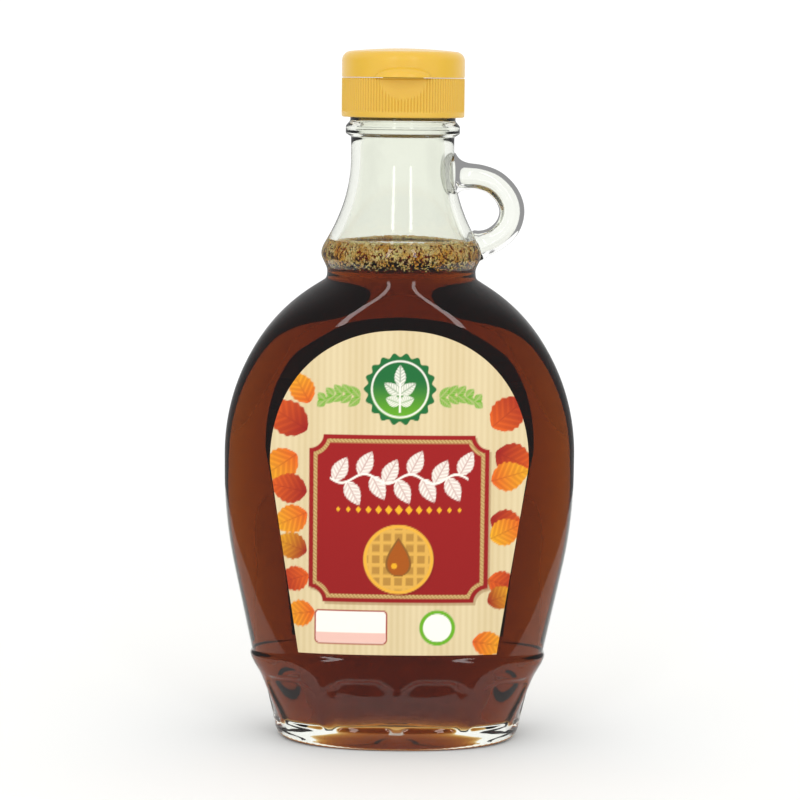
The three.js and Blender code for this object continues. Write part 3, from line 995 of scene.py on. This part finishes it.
def hinge_strap():
    """Curved plate on the back of the cap: a pillow whose edge is let into the cap."""
    across, up = np.meshgrid(np.linspace(-1, 1, 41), np.linspace(-1, 1, 31))
    swell = (1 - across ** 8) * (1 - up ** 8)
    groove = HINGE_GROOVE * np.exp(-((up - 0.1) / 0.12) ** 2)
    x = HINGE_HALF_WIDTH * across
    z = (HINGE_LOW + HINGE_HIGH) / 2 + (HINGE_HIGH - HINGE_LOW) / 2 * up
    radius = CAP_RADIUS - HINGE_SINK + (HINGE_SWELL - groove) * swell
    y = np.sqrt(radius ** 2 - x ** 2)
    index = np.arange(x.size).reshape(x.shape)
    quads = np.stack([index[:-1, :-1], index[1:, :-1], index[1:, 1:], index[:-1, 1:]], -1)
    rim = np.concatenate([index[0], index[1:, -1], index[-1, -2::-1], index[-2:0:-1, 0]])
    points = np.stack([x, y, z], -1).reshape(-1, 3)
    return new_piece("hinge_strap", points, quads.reshape(-1, 4).tolist() + [rim.tolist()])


hinge = hinge_strap()
print("hinge", len(hinge.data.polygons), "faces")

# %% [markdown]
# ## Materials
# The flask is clear flint glass, blown in a mould: smooth, a trace of warm green, with a slow
# waviness that bends reflections. The syrup is a clear liquid that swallows blue first and red
# last, so thin layers are gold and thick ones red-brown; absorption in its volume gives that. Syrup
# bends light almost as much as glass does, so the face where they meet is given an index of one: it
# neither bends nor mirrors light, and the filled bottle acts as one thick lens.

# %% Glass and syrup
GLASS_INDEX = 1.52
SYRUP_INDEX = 1.48
UNSEEN_INDEX = 1.0
COLOURLESS = (1.0, 1.0, 1.0, 1.0)
GLASS_WAVE = 14.0
SYRUP_DENSITY = 300.0


def surface_material(name, values):
    """Material with one principled shader at these values; returns it with its nodes and shader."""
    material = bpy.data.materials.new(name)
    material.use_nodes = True
    tree = material.node_tree
    shader = tree.nodes["Principled BSDF"]
    for field, value in values.items():
        shader.inputs[field].default_value = value
    return material, tree, shader


def dress(material, *pieces):
    """Give each piece one more material."""
    for piece in pieces:
        piece.data.materials.append(material)


def clear_material(name, tint, index):
    """Smooth clear material: it bends and mirrors light by its index, and not at all at one."""
    values = {"Base Color": tint, "Roughness": 0.0, "IOR": index, "Transmission Weight": 1.0}
    return surface_material(name, values)


def noise(tree, size, detail):
    """Noise in the piece's own space, with spots of about this size in millimetres."""
    place = add_node(tree, "ShaderNodeTexCoord")
    spots = add_node(tree, "ShaderNodeTexNoise", inputs={
        "Vector": place.outputs["Object"], "Scale": 1 / (size * MM), "Detail": detail,
    })
    return spots.outputs["Fac"]


def rippled(tree, shader, spots, strength, rise):
    """Tilt the shader's normal as if a noise stood up by a rise in millimetres."""
    bump = add_node(tree, "ShaderNodeBump", inputs={
        "Height": spots, "Strength": strength, "Distance": rise * MM,
    })
    tree.links.new(bump.outputs["Normal"], shader.inputs["Normal"])


def flint_glass():
    material, tree, shader = clear_material("flint glass, blow moulded", linear("#f2f4ec"), GLASS_INDEX)
    rippled(tree, shader, noise(tree, GLASS_WAVE, 1.0), 0.05, 0.4)
    return material


def maple_syrup():
    material, tree, _ = clear_material("maple syrup, dark amber", COLOURLESS, UNSEEN_INDEX)
    depth = add_node(tree, "ShaderNodeVolumeAbsorption", inputs={
        "Color": linear("#e3c131"), "Density": SYRUP_DENSITY,
    })
    tree.links.new(depth.outputs["Volume"], tree.nodes["Material Output"].inputs["Volume"])
    return material


def wetted(mesh):
    """Faces of the inner wall below the level: inside a section half a millimetre outside it."""
    centre = np.empty(3 * len(mesh.polygons))
    mesh.polygons.foreach_get("center", centre)
    x, y, z = centre.reshape(-1, 3).T / MM
    inset = wall_at(z) - 0.5
    power = squareness(z)
    across = np.abs(x) / (half_width(z) - inset)
    depth = (half_depth(z) - inset) * (1 - face_crown(z) * np.minimum(across, 1.0) ** 2)
    reach = across ** power + (np.abs(y) / depth) ** power
    return (reach < 1) & (z > FLOOR - 0.6) & (z < LEVEL)


wet_glass = clear_material("flint glass, face wetted by syrup", COLOURLESS, UNSEEN_INDEX)[0]
top_face = clear_material("maple syrup, top face", linear("#fff6dc"), SYRUP_INDEX)[0]
wet_faces = wetted(flask.data)
dress(flint_glass(), flask)
dress(wet_glass, flask)
flask.data.polygons.foreach_set("material_index", wet_faces.astype(np.int32))
dress(maple_syrup(), syrup)
dress(top_face, film)
print("glass and syrup set,", int(wet_faces.sum()), "wetted faces")

# %% [markdown]
# Froth is a thin skin of syrup round air, so it is pale gold and shiny, and light passes through it.

# %% Froth material
FROTH_PATCH = 2.5


def waxy(roughness, index, weight, reach):
    """Values of a translucent surface; reach is how far red, green and blue light soak into it."""
    return {
        "Roughness": roughness,
        "IOR": index,
        "Subsurface Weight": weight,
        "Subsurface Radius": tuple(length * MM for length in reach),
        "Subsurface Scale": 1.0,
    }


def two_tones(tree, shader, spots, *stops):
    """Base colour that follows a noise between two stops, each a position and a colour."""
    ramp = add_node(tree, "ShaderNodeValToRGB", inputs={"Fac": spots})
    for element, (position, colour) in zip(ramp.color_ramp.elements, stops):
        element.position = position
        element.color = colour
    tree.links.new(ramp.outputs["Color"], shader.inputs["Base Color"])


def syrup_froth():
    values = waxy(0.25, 1.4, 0.3, (0.6, 0.35, 0.1))
    material, tree, shader = surface_material("syrup froth, fine bubbles", values)
    patches = noise(tree, FROTH_PATCH, 2.0)
    two_tones(tree, shader, patches, (0.35, linear("#e6a63a")), (0.65, linear("#ffe9a6")))
    return material


dress(syrup_froth(), froth_wall, froth_top)
print("froth set")

# %% [markdown]
# Label stock is uncoated paper under a satin varnish: the print's colour, a soft sheen and a faint
# tooth of fibres. The cap is injection-moulded polypropylene, dyed golden yellow: waxy, a little
# translucent, with a fine spark-eroded texture on the skirt and a polished lid.

# %% Paper and plastic
FIBRE = 0.35
PLASTIC_CLOUD = 9.0
PLASTIC_GRAIN = 0.25
PLASTIC_SHADE = 0.93


def printed_paper():
    values = {"Roughness": 0.42, "Specular IOR Level": 0.2}
    material, tree, shader = surface_material("label paper, offset printed", values)
    ink = add_node(tree, "ShaderNodeAttribute", {"attribute_name": "ink"})
    tree.links.new(ink.outputs["Color"], shader.inputs["Base Color"])
    rippled(tree, shader, noise(tree, FIBRE, 3.0), 0.08, 0.05)
    return material


def moulded_polypropylene(name, colour, roughness, grain):
    values = waxy(roughness, 1.49, 0.15, (1.5, 0.9, 0.2))
    material, tree, shader = surface_material(name, values)
    shade = (*(PLASTIC_SHADE * c for c in colour[:3]), 1.0)
    two_tones(tree, shader, noise(tree, PLASTIC_CLOUD, 2.0), (0.0, shade), (1.0, colour))
    rippled(tree, shader, noise(tree, PLASTIC_GRAIN, 2.0), grain, 0.03)
    return material


dress(printed_paper(), label_front, label_back)
yellow = "polypropylene, yellow, "
dress(moulded_polypropylene(yellow + "ribbed skirt", linear("#e0b440"), 0.38, 0.10), skirt)
dress(moulded_polypropylene(yellow + "polished lid", linear("#e3b63a"), 0.28, 0.04), lid, hinge)
print("paper and plastic set")

# %% [markdown]
# ## Ties to the frame
# Every piece rides on the one body of the frame. The table gives the solid that each piece belongs to,
# and where the piece stands for that solid, the solid is hidden.

# %% Ride and replace
TIES = [
    (flask, "bottle", True),
    (syrup, "syrup", True),
    (film, "syrup", False),
    (froth_wall, "froth", True),
    (froth_top, "froth", False),
    (label_front, "label_front", True),
    (label_back, "label_back", True),
    (skirt, "cap_skirt", True),
    (lid, "cap_lid", True),
    (hinge, "cap_lid", False),
]
for piece, node, stands_for in TIES:
    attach(piece, "root")
    if stands_for:
        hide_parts(node)
print(len(TIES), "pieces tied")

# %% [markdown]
# ## Studio
# Clear glass shows what is behind and beside it. A white sky that is dim towards both sides draws
# thin dark lines along its edges, as in a photographer's white studio. Mirror reflections see a much
# dimmer sky, so that they don't veil the dark syrup. Two tall strip lights in front put narrow
# upright highlights on the neck and the shoulder.

# %% Floor and light
SKY = 1.1
SIDE_SKY = 0.5
MIRRORED_SKY = 0.3
STRIP_ASIDE = 0.3
STRIP_BACK = 0.85
STRIP_HEIGHT = 0.55
STRIP_SIZE = (0.08, 0.8)
STRIP_POWER = 0.8
BOARD_RADIUS = 250.0
BOARD_BACK = 170.0
BOARD_CORNERS = 96


def studio_world():
    """White sky, dim towards both sides, and dim all round for mirror reflections off the glass."""
    world = bpy.data.worlds.new("white studio")
    world.use_nodes = True
    tree = world.node_tree
    place = add_node(tree, "ShaderNodeTexCoord")
    parts = add_node(tree, "ShaderNodeSeparateXYZ", inputs={"Vector": place.outputs["Generated"]})
    aside = add_node(tree, "ShaderNodeMath", {"operation": "ABSOLUTE"}, {0: parts.outputs["X"]})
    field = add_node(tree, "ShaderNodeMapRange", {"interpolation_type": "SMOOTHSTEP"}, {
        "Value": aside.outputs["Value"],
        "From Min": 0.85,
        "From Max": 0.99,
        "To Min": SKY,
        "To Max": SIDE_SKY,
    })
    path = add_node(tree, "ShaderNodeLightPath")
    mirrored = add_node(tree, "ShaderNodeMath", {"operation": "MULTIPLY"}, {
        0: path.outputs["Is Reflection Ray"], 1: path.outputs["Is Singular Ray"],
    })
    strength = add_node(tree, "ShaderNodeMapRange", inputs={
        "Value": mirrored.outputs["Value"], "To Min": field.outputs["Result"], "To Max": MIRRORED_SKY,
    })
    tree.links.new(strength.outputs["Result"], tree.nodes["Background"].inputs["Strength"])
    tree.nodes["Background"].inputs["Color"].default_value = (1.0, 1.0, 1.0, 1.0)
    bpy.context.scene.world = world


def soft_light(name, place, target, size, power):
    """Rectangular area light at a place, turned to face a target."""
    lamp = bpy.data.lights.new(name, "AREA")
    lamp.shape = "RECTANGLE"
    lamp.size, lamp.size_y = size
    lamp.energy = power
    light = new_object(name, lamp)
    light.location = place
    light.rotation_euler = (Vector(target) - Vector(place)).to_track_quat("-Z", "Y").to_euler()


studio_world()
for name, side in (("strip left", -1), ("strip right", 1)):
    place = (side * STRIP_ASIDE, -STRIP_BACK, STRIP_HEIGHT)
    soft_light(name, place, (0.0, 0.0, 0.1), STRIP_SIZE, STRIP_POWER)
board_points = turned(BOARD_RADIUS, around(BOARD_CORNERS), np.zeros(BOARD_CORNERS)) + (0, BOARD_BACK, 0)
floor = new_piece("floor", board_points, [list(range(BOARD_CORNERS))], smooth=False)
matt = {"Base Color": linear("#f6f6f4"), "Roughness": 0.9}
dress(surface_material("studio board, pale matt", matt)[0], floor)
bpy.context.scene.view_settings.view_transform = "Standard"
print("studio lit")

# %% [markdown]
# ## Camera
# A long lens looks slightly down at the bottle from about two thirds of a metre.

# %% Camera
FOCAL_PIXELS = 2725.0
PICTURE_PIXELS = 800.0
CAMERA_BACK = 0.6629
CAMERA_HEIGHT = 0.1621
CAMERA_PITCH = math.radians(6.8)
CAMERA_ROLL = math.radians(0.6)

lens = bpy.data.cameras.new("camera")
lens.sensor_width = 36.0
lens.lens = FOCAL_PIXELS * lens.sensor_width / PICTURE_PIXELS
camera = new_object("camera", lens)
aim = Matrix.Rotation(math.pi / 2 - CAMERA_PITCH, 4, "X") @ Matrix.Rotation(CAMERA_ROLL, 4, "Z")
camera.matrix_world = Matrix.Translation((0.0, -CAMERA_BACK, CAMERA_HEIGHT)) @ aim
bpy.context.scene.camera = camera
print("camera", round(lens.lens, 1), "mm")
